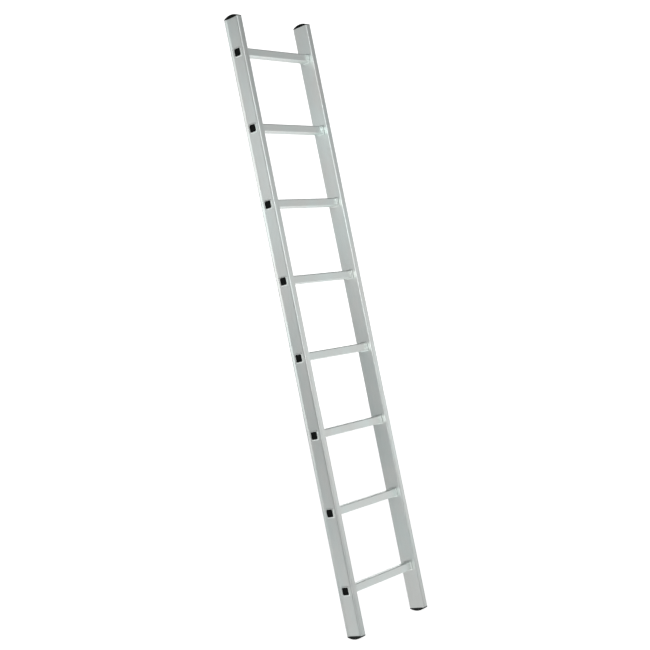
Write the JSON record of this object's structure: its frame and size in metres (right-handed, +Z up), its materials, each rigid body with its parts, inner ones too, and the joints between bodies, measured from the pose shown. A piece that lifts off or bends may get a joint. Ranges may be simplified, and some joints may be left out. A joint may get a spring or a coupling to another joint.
{
  "type": "leaning ladder",
  "caption": "Straight single-section leaning ladder: two hollow box stiles, square swaged rungs with end plugs, end caps and rocker feet.",
  "frame": {"origin": "on the ground, midway between the two feet, under the middle of the stiles' depth", "axes": "+X to the right along the rungs, -Y the climbing side, +Y the wall side, +Z up along the stiles"},
  "size_m": [0.42, 0.066, 2.27],
  "materials": {
    "stile_aluminium": "satin extruded aluminium",
    "rung_aluminium": "satin extruded aluminium, swaged ends",
    "plug_plastic": "black moulded plastic",
    "cap_plastic": "black moulded plastic",
    "foot_rubber": "black moulded rubber"
  },
  "bodies": {
    "root": {"stile_left": "stile_aluminium", "top_cap_left": "cap_plastic", "foot_left": "foot_rubber", "stile_right": "stile_aluminium", "top_cap_right": "cap_plastic", "foot_right": "foot_rubber", "rung_1": "rung_aluminium", "rung_1_plug_left": "plug_plastic", "rung_1_plug_right": "plug_plastic", "rung_2": "rung_aluminium", "rung_2_plug_left": "plug_plastic", "rung_2_plug_right": "plug_plastic", "rung_3": "rung_aluminium", "rung_3_plug_left": "plug_plastic", "rung_3_plug_right": "plug_plastic", "rung_4": "rung_aluminium", "rung_4_plug_left": "plug_plastic", "rung_4_plug_right": "plug_plastic", "rung_5": "rung_aluminium", "rung_5_plug_left": "plug_plastic", "rung_5_plug_right": "plug_plastic", "rung_6": "rung_aluminium", "rung_6_plug_left": "plug_plastic", "rung_6_plug_right": "plug_plastic", "rung_7": "rung_aluminium", "rung_7_plug_left": "plug_plastic", "rung_7_plug_right": "plug_plastic", "rung_8": "rung_aluminium", "rung_8_plug_left": "plug_plastic", "rung_8_plug_right": "plug_plastic"}
  },
  "joints": []
}
